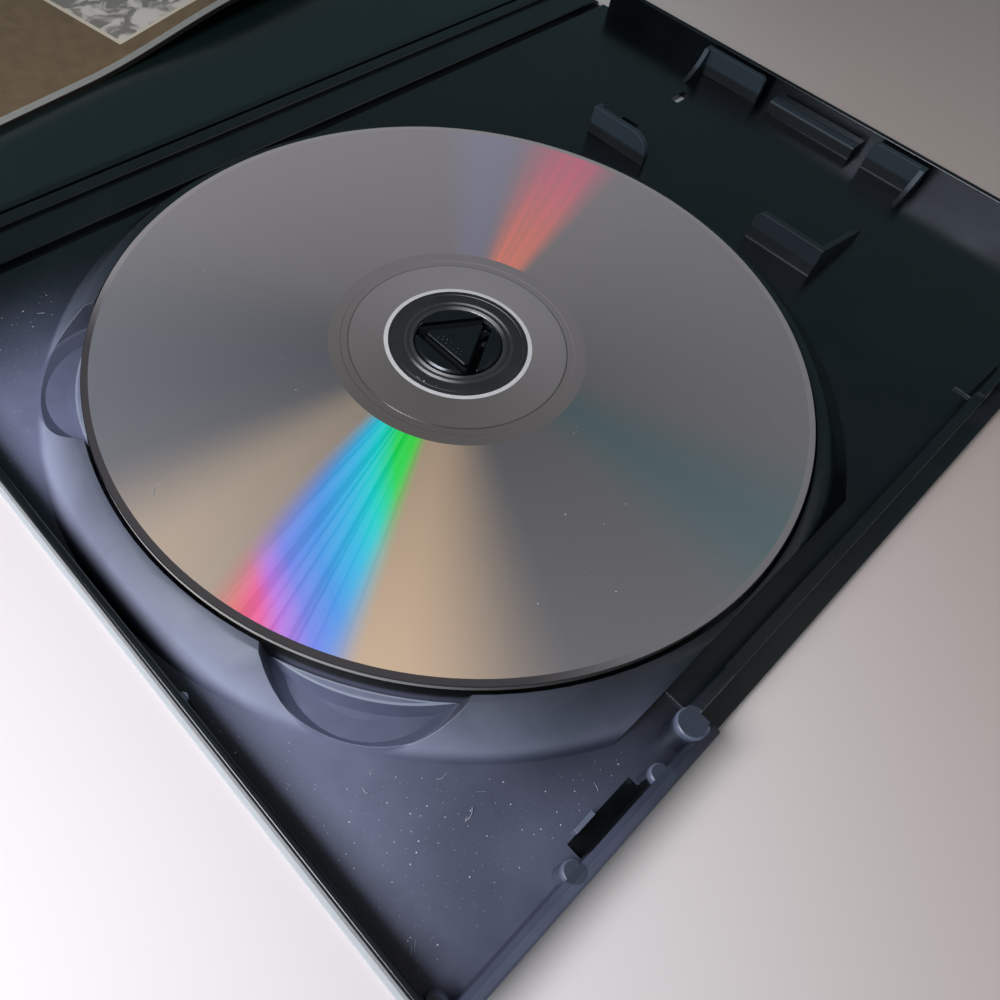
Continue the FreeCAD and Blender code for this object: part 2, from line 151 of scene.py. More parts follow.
# A pale haze of fine dust on the tray's low end, painted together with a sheen of lamp light that is paler
# on slopes facing the lamp
floor_dust_and_sheen_tone = (0.155, 0.172, 0.285, 1.0)
slope_dust_and_sheen_tone = (0.355, 0.391, 0.567, 1.0)
scoop_offset = 30.76 * mm
scoop_y = -70.4 * mm
scoop_radius = 13.2 * mm
slope_heights = (1.5 * mm, 2.8 * mm)
slope_end = 136.3 * mm
slope_gain = 11.0 * mm
corner_start = (128.0 * mm, 138.0 * mm)
corner_gain = 10.0 * mm
dust_and_sheen_fades = (-85.0 * mm, -47.0 * mm)
wall_shadow = (-92.5 * mm, -89.5 * mm)
front_fade = (100.0 * mm, 145.0 * mm)
spine_fade = (8.0 * mm, 44.0 * mm)
disc_shade_reach = (60.4 * mm, 69.5 * mm)
disc_shadow_edge = (59.0 * mm, 59.7 * mm)
latch_middle = (140.15 * mm, -62.5 * mm)
latch_half = (1.12 * mm, 6.1 * mm)
ledge_height = 3.2 * mm
ledge_share = 0.4
from_middle = calc(tree, "ABSOLUTE", calc(tree, "SUBTRACT", x, disc_centre.x))
from_hub = away(tree, x, y, disc_centre)
scoop_away = away(tree, from_middle, y, (scoop_offset, scoop_y))
on_slope = overlap(tree, spread(tree, z, *slope_heights, 0.0, 1.0),
                   spread(tree, scoop_away, scoop_radius, scoop_radius + 0.6 * mm, 0.0, 1.0),
                   calc(tree, "LESS_THAN", x, slope_end))
reach = calc(tree, "MULTIPLY_ADD", on_slope, -slope_gain, y)
reach = calc(tree, "MULTIPLY_ADD", spread(tree, x, *corner_start, 0.0, 1.0), -corner_gain, reach)
# Painted shadow: the dust and sheen fade out along the near wall
dust_and_sheen_spread = overlap(tree, spread(tree, reach, *dust_and_sheen_fades, 1.0, 0.0),
                spread(tree, y, *wall_shadow, 0.0, 1.0),
                spread(tree, x, *front_fade, 1.0, 0.5),
                spread(tree, x, *spine_fade, 0.0, 1.0),
                spread(tree, handling, 0.3, 0.7, 0.8, 1.0))
# Painted shade: the dust and sheen fade on the ridge beside the disc, under the disc's rim and in the latch
# slot
near_disc_shade = overlap(tree, on_slope, spread(tree, from_hub, *disc_shade_reach, 0.74, 0.0))
in_latch = in_rectangle(tree, x, y, latch_middle, latch_half)
dust_and_sheen = overlap(tree, dust_and_sheen_spread, calc(tree, "SUBTRACT", 1.0, near_disc_shade),
               spread(tree, from_hub, *disc_shadow_edge, 0.0, 1.0),
               calc(tree, "SUBTRACT", 1.0, in_latch))
# Painted light: the ledge in each scoop takes part of the paler slope tone
at_ledge = calc(tree, "COMPARE", z, ledge_height, 0.16 * mm)
on_ledge = overlap(tree, at_ledge, calc(tree, "LESS_THAN", scoop_away, scoop_radius - 0.4 * mm))
raised = calc(tree, "MAXIMUM", on_slope, calc(tree, "MULTIPLY", on_ledge, ledge_share))
base = tint(tree, dust_and_sheen, base, tint(tree, raised, floor_dust_and_sheen_tone, slope_dust_and_sheen_tone))

# The brackets of the card holder are painted paler towards their tops, as painted light with painted shade
# below
bracket_lit_tone = (0.022, 0.037, 0.05, 1.0)
holder_middle = (71.5 * mm, 68.5 * mm)
holder_half = (31.0 * mm, 23.6 * mm)
bracket_heights = (3.4 * mm, 4.4 * mm)
near_brackets = (72.0 * mm, 82.0 * mm)
end_brackets = (82.0 * mm, 86.0 * mm)
tray_floor = 1.4 * mm
above_floor = calc(tree, "GREATER_THAN", z, tray_floor + 0.2 * mm)
holder = overlap(tree, in_rectangle(tree, x, y, holder_middle, holder_half), above_floor)
most_lit = calc(tree, "MAXIMUM", spread(tree, x, *near_brackets, 1.0, 0.4),
                   spread(tree, y, *end_brackets, 0.0, 1.3))
lit_bracket_tops = overlap(tree, holder, spread(tree, z, *bracket_heights, 0.0, 1.0), most_lit)
base = tint(tree, lit_bracket_tops, base, bracket_lit_tone)

# The cover half is a little paler, and one edge of the back strip has a painted highlight along its length
cover_tone = (0.006, 0.0125, 0.0125, 1.0)
strip_highlight_tone = (0.055, 0.073, 0.075, 1.0)
cover_start = (-9.8 * mm, -8.8 * mm)
strip_edge_x = -5.78 * mm
strip_edge_height = 1.88 * mm
base = tint(tree, spread(tree, x, *cover_start, 1.0, 0.0), base, cover_tone)
strip_highlight = overlap(tree, calc(tree, "COMPARE", x, strip_edge_x, 0.18 * mm),
                     calc(tree, "GREATER_THAN", z, strip_edge_height))
base = tint(tree, strip_highlight, base, strip_highlight_tone)

# The guide posts and the lip of the near latch carry painted highlights on their tops and rims
post_highlight_tone = (0.038, 0.046, 0.072, 1.0)
edge_highlight_tone = (0.125, 0.146, 0.222, 1.0)
big_post_middle = (140.0 * mm, -47.3 * mm)
big_post_radius = 2.25 * mm
big_post_top = 6.8 * mm
small_post_middles = ((141.25 * mm, -55.2 * mm), (141.25 * mm, -71.8 * mm))
small_post_radius = 1.5 * mm
small_post_top = 6.0 * mm
edge_band = 0.55 * mm
lip_middle = (138.7 * mm, -65.55 * mm)
lip_half = (0.42 * mm, 1.8 * mm)
big_post = in_circle(tree, x, y, big_post_middle, big_post_radius)
small_post = calc(tree, "MAXIMUM", in_circle(tree, x, y, small_post_middles[0], small_post_radius),
                  in_circle(tree, x, y, small_post_middles[1], small_post_radius))
lit_post_tops = overlap(tree, calc(tree, "MAXIMUM", big_post, small_post),
                    spread(tree, z, small_post_top - 1.2 * mm, small_post_top, 0.0, 1.0))
base = tint(tree, lit_post_tops, base, post_highlight_tone)
big_post_highlight = overlap(tree, big_post, calc(tree, "COMPARE", z, big_post_top, edge_band))
small_post_highlight = overlap(tree, small_post, calc(tree, "COMPARE", z, small_post_top, edge_band))
lip = in_rectangle(tree, x, y, lip_middle, lip_half)
painted_highlights = calc(tree, "MAXIMUM", big_post_highlight, small_post_highlight)
painted_highlights = calc(tree, "MAXIMUM", painted_highlights, overlap(tree, lip, above_floor))
base = tint(tree, painted_highlights, base, edge_highlight_tone)

# Painted highlights on thin edges: the crescent ledge in each finger scoop, and the small stop on the end
# wall
thin_edge_highlight_tone = (0.26, 0.295, 0.39, 1.0)
ledge_arc_middle = (17.28 * mm, -50.42 * mm)
ledge_arc_radius = 30.86 * mm
ledge_inner_radius = 60.72 * mm
stop_middle = (94.45 * mm, -93.05 * mm)
stop_radius = 0.85 * mm
stop_height = 6.0 * mm
from_arc = away(tree, from_middle, y, ledge_arc_middle)
outer_edge = calc(tree, "COMPARE", from_arc, ledge_arc_radius, 0.17 * mm)
inner_edge = calc(tree, "COMPARE", from_hub, ledge_inner_radius, 0.18 * mm)
ledge_highlight = overlap(tree, calc(tree, "MAXIMUM", outer_edge, inner_edge), at_ledge,
                     calc(tree, "LESS_THAN", scoop_away, scoop_radius + 0.4 * mm))
stop_highlight = overlap(tree, in_circle(tree, x, y, stop_middle, stop_radius),
                   calc(tree, "COMPARE", z, stop_height, 0.4 * mm))
base = tint(tree, calc(tree, "MAXIMUM", ledge_highlight, stop_highlight), base, thin_edge_highlight_tone)
tree.links.new(base, shader.inputs["Base Color"])

# Dust and rubbing take the shine off, and the slots of the hub are left matt by the mould
slot_reach = 7.3 * mm
slot_top = 7.1 * mm
in_slots = overlap(tree, calc(tree, "LESS_THAN", from_hub, slot_reach),
                   calc(tree, "LESS_THAN", z, slot_top))
roughness = spread(tree, handling, 0.3, 0.7, 0.2, 0.27)
for dull, amount in ((dust_and_sheen_spread, 0.35), (holder, 0.35), (in_slots, 0.45)):
    roughness = calc(tree, "MULTIPLY_ADD", dull, amount, roughness)
tree.links.new(roughness, shader.inputs["Roughness"])
grain = speckled(tree, place, 2400.0, 4.0, 0.65)
relief = add(tree, "ShaderNodeBump", {"Height": grain, "Strength": 0.2, "Distance": 0.04 * mm})
tree.links.new(relief.outputs["Normal"], shader.inputs["Normal"])


def built(shape, name, *materials):
    # The finished shape as a piece in the scene, with its materials
    mesh = bpy.data.meshes.new(name)
    shape.to_mesh(mesh)
    shape.free()
    for material in materials:
        mesh.materials.append(material)
    piece = bpy.data.objects.new(name, mesh)
    scene.collection.objects.link(piece)
    return piece


def border_loops(edges):
    # How many separate loops a set of border edges makes; more than one means a face with holes
    left = set(edges)
    loops = 0
    while left:
        loops += 1
        waiting = [left.pop()]
        while waiting:
            for corner in waiting.pop().verts:
                for edge in corner.link_edges:
                    if edge in left:
                        left.remove(edge)
                        waiting.append(edge)
    return loops


crest_radius = 62.0 * mm
crest_height = 6.6 * mm


def ring_crest(edge):
    # The rounded crest of the ridge around the disc
    middle = (edge.verts[0].co + edge.verts[1].co) / 2
    out = math.hypot(middle.x - disc_centre.x, middle.y - disc_centre.y)
    return abs(out - crest_radius) < 0.15 * mm and abs(middle.z - crest_height) < 0.05 * mm


edge_rounding = 0.12 * mm
weld_distance = 0.002 * mm
crease_angle = math.radians(33)
soft_angle = math.radians(8)
flat_angle = math.radians(0.5)
film_thickness = packed_box("sleeve_back")[1].z
outside_height = film_thickness + 0.005 * mm
film_clearance = 0.03 * mm


def moulded(node_name, piece_name, body, material):
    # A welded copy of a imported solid: each of its skins is shaded alone, and hard edges are rounded
    shape = bmesh.new()
    shape.from_mesh(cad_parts[node_name].data)
    skin = shape.faces.layers.int.new("skin")
    count = 0
    for seed in shape.faces:
        if seed[skin]:
            continue
        count += 1
        seed[skin] = count
        waiting = [seed]
        while waiting:
            for edge in waiting.pop().edges:
                for face in edge.link_faces:
                    if not face[skin]:
                        face[skin] = count
                        waiting.append(face)
    bmesh.ops.remove_doubles(shape, verts=shape.verts, dist=weld_distance)
    # The outside stands a hair clear of the film drawn over it
    for corner in shape.verts:
        if corner.co.z < outside_height:
            corner.co.z += film_clearance
    curved = set()
    borders = {}
    for edge in shape.edges:
        skins = {face[skin] for face in edge.link_faces}
        edge.seam = len(skins) > 1
        if edge.seam:
            for name in skins:
                borders.setdefault(name, []).append(edge)
        elif edge.calc_face_angle(0.0) > flat_angle:
            curved.update(skins)
    pierced = {name for name, edges in borders.items() if border_loops(edges) > 1}
    kept = curved | pierced
    inner = [edge for edge in shape.edges if not edge.seam and edge.link_faces[0][skin] not in kept]
    bmesh.ops.dissolve_edges(shape, edges=inner, use_verts=True)
    rounded = shape.edges.layers.float.new("bevel_weight_edge")
    for face in shape.faces:
        face.smooth = face[skin] in curved
        face.material_index = 0
    for edge in shape.edges:
        edge.smooth = not edge.seam or edge.calc_face_angle(0.0) < soft_angle
        open_floor = any(face[skin] in pierced - curved for face in edge.link_faces)
        if ring_crest(edge):
            edge.smooth = True
            for face in edge.link_faces:
                face.smooth = True
        elif edge.calc_face_angle_signed(0.0) > crease_angle and not open_floor:
            edge[rounded] = 1.0
    piece = built(shape, piece_name, material)
    rounding = piece.modifiers.new("rounded_edges", "BEVEL")
    rounding.width = edge_rounding
    rounding.segments = 2
    rounding.limit_method = "WEIGHT"
    rounding.use_clamp_overlap = False
    rounding.harden_normals = True
    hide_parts(node_name)
    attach(piece, body)
    return piece


moulded("tray", "tray_moulding", "tray", black_plastic)
moulded("spine", "spine_moulding", "spine", black_plastic)
moulded("cover", "cover_moulding", "cover", black_plastic)


# Outer film: a thin clear pocket welded along its edges and drawn over the outside of the case.
# It stays as its packed sheets, split where the case bends. It reads dark over the plastic, and pale
# where its welded ends stand past the moulding and under the slit in the floor.
dark_film_tone = (0.012, 0.014, 0.016, 1.0)
weld_start = (93.9 * mm, 94.2 * mm)
slit_middle = (46.5 * mm, 76.55 * mm)
slit_half = (1.0 * mm, 2.55 * mm)
clear_film, tree, shader = finish("clear_film", IOR=1.49, Alpha=0.4)
place = add(tree, "ShaderNodeTexCoord").outputs["Object"]
parts = add(tree, "ShaderNodeSeparateXYZ", {"Vector": place})
x, y = parts.outputs["X"], parts.outputs["Y"]
ripple = speckled(tree, place, 30.0, 2.0)
pale_film = tint(tree, ripple, (0.7, 0.78, 0.84, 1.0), (0.8, 0.87, 0.92, 1.0))
past_end = spread(tree, calc(tree, "ABSOLUTE", y), *weld_start, 0.0, 1.0)
under_slit = in_rectangle(tree, x, y, slit_middle, slit_half)
colour = tint(tree, calc(tree, "MAXIMUM", past_end, under_slit), dark_film_tone, pale_film)
tree.links.new(colour, shader.inputs["Base Color"])
tree.links.new(spread(tree, ripple, 0.3, 0.7, 0.25, 0.35), shader.inputs["Roughness"])
relief = add(tree, "ShaderNodeBump", {"Height": ripple, "Strength": 0.4, "Distance": 0.4 * mm})
tree.links.new(relief.outputs["Normal"], shader.inputs["Normal"])
for sheet_name in ("sleeve_back", "sleeve_spine", "sleeve_front"):
    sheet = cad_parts[sheet_name]
    sheet.data.materials.clear()
    sheet.data.materials.append(clear_film)


# Release button: a three-sided push button in the middle of the hub, of the same black plastic,
# on springy arms. Two short rows of raised dots give the fingertip a grip.
dot_radius = 0.2 * mm
dot_height = 0.12 * mm
dot_spacing = 0.85 * mm
dot_rows = ((-1.3 * mm, 6), (-2.05 * mm, 7))
moulded("release_button", "release_button_moulding", "button", black_plastic)
dots = bmesh.new()
flattened = Matrix.Diagonal((dot_radius, dot_radius, dot_height, 1.0))
for row, count in dot_rows:
    for index in range(count):
        along_row = (index - (count - 1) / 2) * dot_spacing
        spot = Matrix.Translation(disc_centre + Vector((along_row, row, button_high.z)))
        bmesh.ops.create_uvsphere(dots, u_segments=10, v_segments=6, radius=1.0, matrix=spot @ flattened)
grip = built(dots, "button_grip_dots", black_plastic)
grip.data.shade_smooth()
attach(grip, "button")


# Disc: a 1.2 mm disc of clear polycarbonate with a metal layer, lying data side up on the hub.
# The fine track spreads light into colours, and the clear parts show at the hole and the rim.
disc_top = disc_high.z
disc_bottom = disc_low.z
disc_turns = 256
hole_radius = 7.5 * mm
hole_bevel = 0.1 * mm
rim_radius = 60.0 * mm
rim_bevel = 0.15 * mm
label_inner = 12.1 * mm
label_outer = 58.6 * mm
# Each zone is (outer radius in mm, depth below the top face in mm, finish)
top_zones = [
    (7.6, 0.0, "collar"), (8.15, 0.0, "collar"), (8.7, 0.0, "clear"), (8.8, 0.05, "collar"),
    (9.2, 0.05, "collar"), (9.3, 0.0, "clear"), (10.7, 0.0, "clear"), (10.75, 0.04, "clear"),
    (10.95, 0.04, "clear"), (11.05, 0.0, "collar"), (11.75, 0.0, "clear"), (12.45, 0.0, "ring"),
    (18.3, 0.0, "band"), (18.42, 0.07, "band"), (19.55, 0.07, "band"), (19.7, 0.0, "band"),
    (21.6, 0.0, "band"), (30.0, 0.0, "data"), (45.0, 0.0, "data"), (58.85, 0.0, "data"),
    (59.85, 0.0, "metal_edge"),
]


def polar(tree, place):
    # Radius in millimetres and angle in degrees round the middle of the disc
    parts = add(tree, "ShaderNodeSeparateXYZ", {"Vector": place})
    x, y = parts.outputs["X"], parts.outputs["Y"]
    turned = calc(tree, "ARCTAN2", calc(tree, "SUBTRACT", y, disc_centre.y),
                  calc(tree, "SUBTRACT", x, disc_centre.x))
    radius = calc(tree, "MULTIPLY", away(tree, x, y, disc_centre), 1 / mm)
    return radius, calc(tree, "MULTIPLY", turned, 180 / math.pi)


def fan(tree, angle, middle, clockwise, anticlockwise):
    # 1 at the middle of a fan of light, falling smoothly to 0 at its two sides
    turned = calc(tree, "SUBTRACT", angle, middle)
    left = spread(tree, turned, 0.0, anticlockwise, 1.0, 0.0)
    right = spread(tree, turned, -clockwise, 0.0, 0.0, 1.0)
    return overlap(tree, left, right)


def swing(tree, angle, middle):
    # 1 on one side of the disc, falling smoothly to 0 on the opposite side
    turned = calc(tree, "MULTIPLY", calc(tree, "SUBTRACT", angle, middle), math.pi / 180)
    return calc(tree, "MULTIPLY_ADD", calc(tree, "COSINE", turned), 0.5, 0.5)


def ramp(tree, value, stops):
    # Colours that follow one another along a value
    made = add(tree, "ShaderNodeValToRGB", {"Fac": value})
    while len(made.color_ramp.elements) < len(stops):
        made.color_ramp.elements.new(0.5)
    for element, (position, colour) in zip(made.color_ramp.elements, stops):
        element.position = position
        element.color = colour
    return made.outputs["Color"]


data_side, tree, shader = finish("disc_data_side", Metallic=0.15, Coat_Weight=0.5, Coat_Roughness=0.05)
place = add(tree, "ShaderNodeTexCoord").outputs["Object"]
radius, angle = polar(tree, place)
# Painted reflection: the metal is painted paler towards the far side of the disc
far_side = calc(tree, "POWER", swing(tree, angle, 130.0), 1.8)
colour = tint(tree, far_side, shade(114, 113, 117), shade(160, 153, 157))
# Soft fans of room light: middle, clockwise and anticlockwise reach in degrees, and tone
for middle, clockwise, anticlockwise, tone in (
        (9.0, 18.0, 22.0, shade(99, 116, 120)), (-118.0, 46.0, 26.0, shade(108, 110, 117)),
        (129.0, 14.0, 12.0, shade(162, 157, 179)), (-88.0, 18.0, 42.0, shade(177, 161, 146)),
        (-53.0, 28.0, 25.0, shade(205, 179, 153))):
    colour = tint(tree, fan(tree, angle, middle, clockwise, anticlockwise), colour, tone)
# Painted reflection: the metal is painted darker near the hole and brighter towards the rim
level = add(tree, "ShaderNodeMapRange", {"Value": radius, "From Min": 22.0, "From Max": 60.0,
                                         "To Min": 0.82, "To Max": 1.2}).outputs["Result"]
colour = add(tree, "ShaderNodeVectorMath", {0: colour, "Scale": level}, operation="SCALE")
colour = colour.outputs["Vector"]
streak_place = add(tree, "ShaderNodeCombineXYZ", {"X": angle, "Y": calc(tree, "MULTIPLY", radius, 0.012)})
streak = spread(tree, speckled(tree, streak_place.outputs["Vector"], 0.6, 2.0), 0.36, 0.62, 0.0, 1.0)
# Light from the lamp comes back split into colours: a rosy fan beyond the hole
outwards = spread(tree, radius, 22.0, 58.0, 0.0, 1.0)
rosy = tint(tree, outwards, shade(255, 152, 134), shade(255, 146, 170))
glow = overlap(tree, fan(tree, angle, 110.0, 9.0, 15.0), spread(tree, radius, 20.0, 60.0, 1.75, 1.1))
glow = overlap(tree, calc(tree, "MINIMUM", glow, 1.0), calc(tree, "MULTIPLY_ADD", streak, 0.22, 0.78))
colour = tint(tree, glow, colour, rosy)
# And a rainbow on the near side, whose colours follow one another outwards and across the fan
rainbow_side = -58.0
rainbow_width = 22.0
rainbow_start = 24.0
hues = [(0.0, shade(40, 240, 60)), (0.11, shade(0, 245, 95)), (0.23, shade(0, 235, 232)),
        (0.33, shade(50, 205, 255)), (0.46, shade(80, 168, 255)), (0.6, shade(130, 148, 255)),
        (0.72, shade(205, 132, 245)), (0.81, shade(255, 112, 175)), (0.92, shade(255, 116, 128))]
across = calc(tree, "DIVIDE", calc(tree, "SUBTRACT", rainbow_side, angle), rainbow_width)
across = calc(tree, "MINIMUM", across, 1.0)
out = calc(tree, "SUBTRACT", radius, rainbow_start)
order = calc(tree, "MULTIPLY_ADD", out, 0.0145, -0.05)
order = calc(tree, "MULTIPLY_ADD", across, 0.38, order)
order = calc(tree, "MULTIPLY_ADD", across, spread(tree, radius, 45.0, 59.0, 0.0, 0.24), order)
hue = ramp(tree, order, hues)
hue = tint(tree, calc(tree, "MULTIPLY", streak, 0.05), hue, (1.0, 1.0, 1.0, 1.0))
hue = tint(tree, spread(tree, streak, 0.0, 0.5, 0.13, 0.0), hue, (0.0, 0.0, 0.0, 1.0))
narrowing = calc(tree, "MULTIPLY_ADD", out, -0.16, angle)
sweep = overlap(tree, spread(tree, narrowing, -85.0, -78.0, 0.0, 1.0),
                spread(tree, angle, -62.0, -56.5, 1.0, 0.0))
colour = tint(tree, calc(tree, "MULTIPLY", sweep, 0.99), colour, hue)
tree.links.new(colour, shader.inputs["Base Color"])
wipes = speckled(tree, place, 45.0, 5.0)
tree.links.new(spread(tree, wipes, 0.3, 0.7, 0.22, 0.3), shader.inputs["Roughness"])

groove_radius = 18.36
mirror_band, tree, shader = finish("disc_mirror_band", Metallic=0.2, Coat_Weight=0.15, Coat_Roughness=0.2)
place = add(tree, "ShaderNodeTexCoord").outputs["Object"]
radius, angle = polar(tree, place)
# Painted reflection: the mirror band is painted paler on the far side
colour = tint(tree, swing(tree, angle, 116.0), shade(106, 102, 101), shade(154, 149, 153))
# Painted shade just inside the stacking groove and in the groove itself
colour = tint(tree, spread(tree, radius, 18.0, 18.5, 0.0, 0.25), colour, shade(90, 84, 82))
groove_shade = calc(tree, "COMPARE", radius, groove_radius, 0.1)
colour = tint(tree, calc(tree, "MULTIPLY", groove_shade, 0.7), colour, shade(58, 54, 54))
tree.links.new(colour, shader.inputs["Base Color"])
wipes = speckled(tree, place, 160.0, 4.0)
tree.links.new(spread(tree, wipes, 0.3, 0.7, 0.18, 0.28), shader.inputs["Roughness"])


def mottled(name, scale, tones, roughness, **sockets):
    # A finish that varies a little from spot to spot, in tone and in shine
    material, tree, shader = finish(name, **sockets)
    spots = speckled(tree, add(tree, "ShaderNodeTexCoord").outputs["Object"], scale, 2.0)
    tree.links.new(tint(tree, spots, *tones), shader.inputs["Base Color"])
    tree.links.new(spread(tree, spots, 0.3, 0.7, *roughness), shader.inputs["Roughness"])
    return material


pale_ring = mottled("disc_pale_ring", 900.0, (shade(208, 208, 214), shade(229, 228, 232)), (0.3, 0.4),
                    Metallic=0.1, Coat_Weight=0.5)
clear_plastic = mottled("disc_clear_plastic", 220.0, ((0.10, 0.105, 0.11, 1.0), (0.16, 0.165, 0.17, 1.0)),
                        (0.02, 0.08), IOR=1.58, Alpha=0.22)
label_side = mottled("disc_plain_label", 1500.0, (shade(176, 178, 184), shade(196, 197, 202)), (0.35, 0.45),
                     Coat_Weight=0.2)

# The moulded steps round the hole catch the light on the near and the far side
hole_collar, tree, shader = finish("disc_hole_collar", IOR=1.58, Alpha=0.6, Roughness=0.12)
angle = polar(tree, add(tree, "ShaderNodeTexCoord").outputs["Object"])[1]
caught = calc(tree, "MAXIMUM", fan(tree, angle, -75.0, 34.0, 42.0),
              calc(tree, "MULTIPLY", fan(tree, angle, 105.0, 52.0, 52.0), 0.8))
tree.links.new(tint(tree, caught, shade(74, 76, 79), shade(232, 233, 237)), shader.inputs["Base Color"])

# The end of the metal layer is painted dark on the near side as painted shade, and paler on the far side as
# painted reflection
metal_edge, tree, shader = finish("disc_metal_edge", Roughness=0.3)
angle = polar(tree, add(tree, "ShaderNodeTexCoord").outputs["Object"])[1]
colour = tint(tree, swing(tree, angle, 130.0), shade(112, 110, 114), shade(165, 160, 163))
from_near = calc(tree, "ABSOLUTE", calc(tree, "ADD", angle, 82.0))
colour = tint(tree, spread(tree, from_near, 45.0, 65.0, 1.0, 0.0), colour, shade(64, 61, 64))
tree.links.new(colour, shader.inputs["Base Color"])

# Painted highlight: a pale line round the outer rim of the disc, brightest on the near side
rim_highlight, tree, shader = finish("disc_rim_highlight", Roughness=0.3)
angle = polar(tree, add(tree, "ShaderNodeTexCoord").outputs["Object"])[1]
colour = tint(tree, fan(tree, angle, -95.0, 75.0, 80.0), shade(96, 92, 93), shade(238, 234, 232))
tree.links.new(colour, shader.inputs["Base Color"])

finishes = {"clear": clear_plastic, "ring": pale_ring, "band": mirror_band, "data": data_side,
            "label": label_side, "metal_edge": metal_edge, "rim": rim_highlight, "collar": hole_collar}
profile = [(hole_radius, disc_bottom + hole_bevel, "clear"), (hole_radius, disc_top - hole_bevel, "clear")]
for outer, drop, kind in top_zones:
    profile.append((outer * mm, disc_top - drop * mm, kind))
profile.append((rim_radius, disc_top - rim_bevel, "clear"))
profile.append((rim_radius, disc_bottom + rim_bevel, "rim"))
profile.append((rim_radius - rim_bevel, disc_bottom, "clear"))
profile.append((label_outer, disc_bottom, "clear"))
profile.append((label_inner, disc_bottom, "label"))
profile.append((hole_radius + hole_bevel, disc_bottom, "clear"))
shape = bmesh.new()
loops = []
for reach_out, height, kind in profile:
    loop = []
    for step in range(disc_turns):
        turn = 2 * math.pi * step / disc_turns
        loop.append(shape.verts.new((disc_centre.x + reach_out * math.cos(turn),
                                     disc_centre.y + reach_out * math.sin(turn), height)))
    loops.append(loop)
for index in range(len(profile)):
    inner = loops[index]
    outer = loops[(index + 1) % len(profile)]
    kind = profile[(index + 1) % len(profile)][2]
    for step in range(disc_turns):
        following = (step + 1) % disc_turns
        face = shape.faces.new((inner[step], outer[step], outer[following], inner[following]))
        face.material_index = list(finishes).index(kind)
        face.smooth = True
bmesh.ops.recalc_face_normals(shape, faces=shape.faces)
for edge in shape.edges:
    edge.smooth = edge.calc_face_angle() < math.radians(20)
game_disc = built(shape, "game_disc", *finishes.values())
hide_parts("disc")
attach(game_disc, "tray")


# Booklet: a stapled block of thin coated pages in a brown cover, lying loose in the cover half.
# Its free edge has curled up, and the trimmed edges of the upper pages show white.
# Its sizes here are in millimetres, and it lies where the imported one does.
booklet_width = 90.0
booklet_height = 174.0
booklet_thickness = 2.4
booklet_low, booklet_high = packed_box("booklet")
booklet_middle = (booklet_low + booklet_high) / 2 / mm
booklet_middle.z = booklet_low.z / mm
booklet_turn = Matrix.Rotation(math.radians(8.0), 4, "Z")
curl_start = 0.62
curl_power = 1.15
lift = (booklet_high.z - booklet_low.z) / mm - booklet_thickness
lift_start = 0.28
lift_end = 0.56
cells_across = 36
cells_along = 72
long_edge_repeat = 40
short_edge_repeat = 20


def booklet_lift(u, v):
    # How far the page block has curled up, u across from the outer edge and v along from the low end
    rise = min(max((v - lift_start) / (lift_end - lift_start), 0.0), 1.0)
    bend = max(u - curl_start, 0.0) / (1.0 - curl_start)
    return lift * rise * rise * (3 - 2 * rise) * bend ** curl_power


printed_cover, tree, shader = finish("booklet_printed_cover", Coat_Weight=0.15, Coat_Roughness=0.3)
page_place = add(tree, "ShaderNodeUVMap", uv_map="page").outputs["UV"]
parts = add(tree, "ShaderNodeSeparateXYZ", {"Vector": page_place})
from_edge = calc(tree, "MULTIPLY", calc(tree, "SUBTRACT", 1.0, parts.outputs["X"]), booklet_width)
from_low = calc(tree, "MULTIPLY", parts.outputs["Y"], booklet_height)
picture_middle = (19.1, 74.5)
picture_half = (14.9, 12.5)
picture_border = 1.0
inside_border = (picture_half[0] - picture_border, picture_half[1] - picture_border)
place = add(tree, "ShaderNodeTexCoord").outputs["Object"]
paper_grain = speckled(tree, place, 320.0, 4.0)
brown = tint(tree, paper_grain, shade(96, 78, 58), shade(126, 106, 82))
clouds = add(tree, "ShaderNodeTexNoise",
             {"Vector": place, "Scale": 190.0, "Detail": 3.0, "Distortion": 1.0})
greys = tint(tree, spread(tree, clouds.outputs["Fac"], 0.42, 0.58, 0.0, 1.0), shade(128, 124, 120),
             shade(206, 200, 194))
colour = tint(tree, in_rectangle(tree, from_edge, from_low, picture_middle, picture_half), brown,
              shade(208, 198, 180))
colour = tint(tree, in_rectangle(tree, from_edge, from_low, picture_middle, inside_border), colour, greys)
tree.links.new(colour, shader.inputs["Base Color"])
tree.links.new(spread(tree, paper_grain, 0.3, 0.7, 0.34, 0.46), shader.inputs["Roughness"])

page_edges, tree, shader = finish("booklet_page_edges")
page_place = add(tree, "ShaderNodeUVMap", uv_map="page").outputs["UV"]
layers = add(tree, "ShaderNodeMapping", {"Vector": page_place, "Scale": (3.0, 26.0, 1.0)})
cut = speckled(tree, layers.outputs["Vector"], 1.0, 3.0)
colour = tint(tree, spread(tree, cut, 0.35, 0.65, 0.0, 1.0), shade(238, 234, 228), shade(252, 250, 247))
# Painted shade: the lower part of the page edges is painted dark brown
low_pages = add(tree, "ShaderNodeSeparateXYZ", {"Vector": page_place}).outputs["Y"]
colour = tint(tree, spread(tree, low_pages, 0.38, 0.5, 1.0, 0.0), colour, shade(34, 27, 21))
tree.links.new(colour, shader.inputs["Base Color"])
tree.links.new(spread(tree, cut, 0.3, 0.7, 0.6, 0.75), shader.inputs["Roughness"])
relief = add(tree, "ShaderNodeBump", {"Height": cut, "Strength": 0.5, "Distance": 0.1 * mm})
tree.links.new(relief.outputs["Normal"], shader.inputs["Normal"])

shape = bmesh.new()
page_map = shape.loops.layers.uv.new("page")


